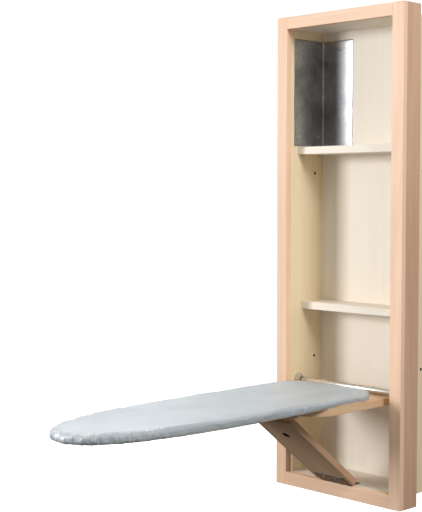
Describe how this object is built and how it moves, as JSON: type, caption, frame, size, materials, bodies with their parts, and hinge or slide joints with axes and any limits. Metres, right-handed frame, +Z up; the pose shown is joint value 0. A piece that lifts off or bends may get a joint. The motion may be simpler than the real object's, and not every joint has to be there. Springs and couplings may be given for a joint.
{
  "type": "in-wall fold-down ironing board cabinet",
  "caption": "Tall shallow wooden wall cabinet with shelves and a metal iron rest; a padded board folds down on a pivot rod and rests on a hinged leg.",
  "frame": {"origin": "centre of the rear face of the back panel, on the wall-cavity side", "axes": "+X to the right seen from the room, +Y into the wall, +Z up; the board folds down towards -Y"},
  "size_m": [0.52, 1.291, 1.562],
  "materials": {
    "frame_wood": "pale unfinished hardwood, fine straight grain, peach tone",
    "panel_wood": "cream plywood face, faint vertical grain, satin",
    "plate_wood": "pale hardwood, sanded",
    "leg_wood": "pale hardwood, sanded, shaded face",
    "sheet_metal": "dull cloudy rolled sheet, slightly wavy",
    "polished_tube": "polished tube",
    "hardware_steel": "dull zinc-plated steel",
    "foam": "felted pad, matt",
    "silver_cloth": "silver metallised cotton, soft sheen, gathered hem"
  },
  "bodies": {
    "cabinet": {"back_panel": "panel_wood", "bottom_panel": "panel_wood", "bottom_rail": "frame_wood", "cleat_screw_left_1": "hardware_steel", "cleat_screw_left_2": "hardware_steel", "cleat_screw_right_1": "hardware_steel", "cleat_screw_right_2": "hardware_steel", "floor_leaf_screw_1": "hardware_steel", "floor_leaf_screw_2": "hardware_steel", "hinge_floor_leaf": "hardware_steel", "hinge_pin": "hardware_steel", "iron_plate_screw_1": "hardware_steel", "iron_plate_screw_2": "hardware_steel", "iron_plate_screw_3": "hardware_steel", "iron_plate_screw_4": "hardware_steel", "iron_rest_plate": "sheet_metal", "left_side_panel": "panel_wood", "left_stile": "frame_wood", "lower_shelf": "panel_wood", "right_side_panel": "panel_wood", "right_stile": "frame_wood", "rod_cleat_left": "panel_wood", "rod_cleat_right": "panel_wood", "rod_socket_left": "hardware_steel", "rod_socket_right": "hardware_steel", "shelf_pin_lower_front_left": "hardware_steel", "shelf_pin_lower_front_right": "hardware_steel", "shelf_pin_lower_rear_left": "hardware_steel", "shelf_pin_lower_rear_right": "hardware_steel", "shelf_pin_upper_front_left": "hardware_steel", "shelf_pin_upper_front_right": "hardware_steel", "shelf_pin_upper_rear_left": "hardware_steel", "shelf_pin_upper_rear_right": "hardware_steel", "socket_screw_left_1": "hardware_steel", "socket_screw_left_2": "hardware_steel", "socket_screw_right_1": "hardware_steel", "socket_screw_right_2": "hardware_steel", "surround_bottom": "frame_wood", "surround_left": "frame_wood", "surround_right": "frame_wood", "surround_top": "frame_wood", "top_panel": "panel_wood", "top_rail": "frame_wood", "upper_shelf": "panel_wood"},
    "board": {"pivot_rod": "polished_tube", "mounting_plate": "plate_wood", "leg_stop_block": "plate_wood", "board_core": "panel_wood", "ironing_pad": "foam", "board_cover": "silver_cloth", "board_screw_1": "hardware_steel", "board_screw_2": "hardware_steel", "board_screw_3": "hardware_steel", "board_screw_4": "hardware_steel", "rod_screw_1": "hardware_steel", "rod_screw_2": "hardware_steel"},
    "leg": {"leg_panel": "leg_wood", "hinge_leg_leaf": "hardware_steel", "leg_leaf_screw_1": "hardware_steel", "leg_leaf_screw_2": "hardware_steel"}
  },
  "joints": [
    {"name": "board_fold", "type": "hinge", "parent": "cabinet", "child": "board", "pos_m": [0, -0.125, -0.429], "axis": [-1, 0, 0], "range_deg": [0, 88]},
    {"name": "leg_fold", "type": "hinge", "parent": "cabinet", "child": "leg", "pos_m": [0, -0.184, -0.733], "axis": [-1, 0, 0], "range_deg": [0, 51.78]}
  ],
  "couplings": [
    {"joint": "leg_fold", "follows": "board_fold", "ratio": 0.5883}
  ]
}
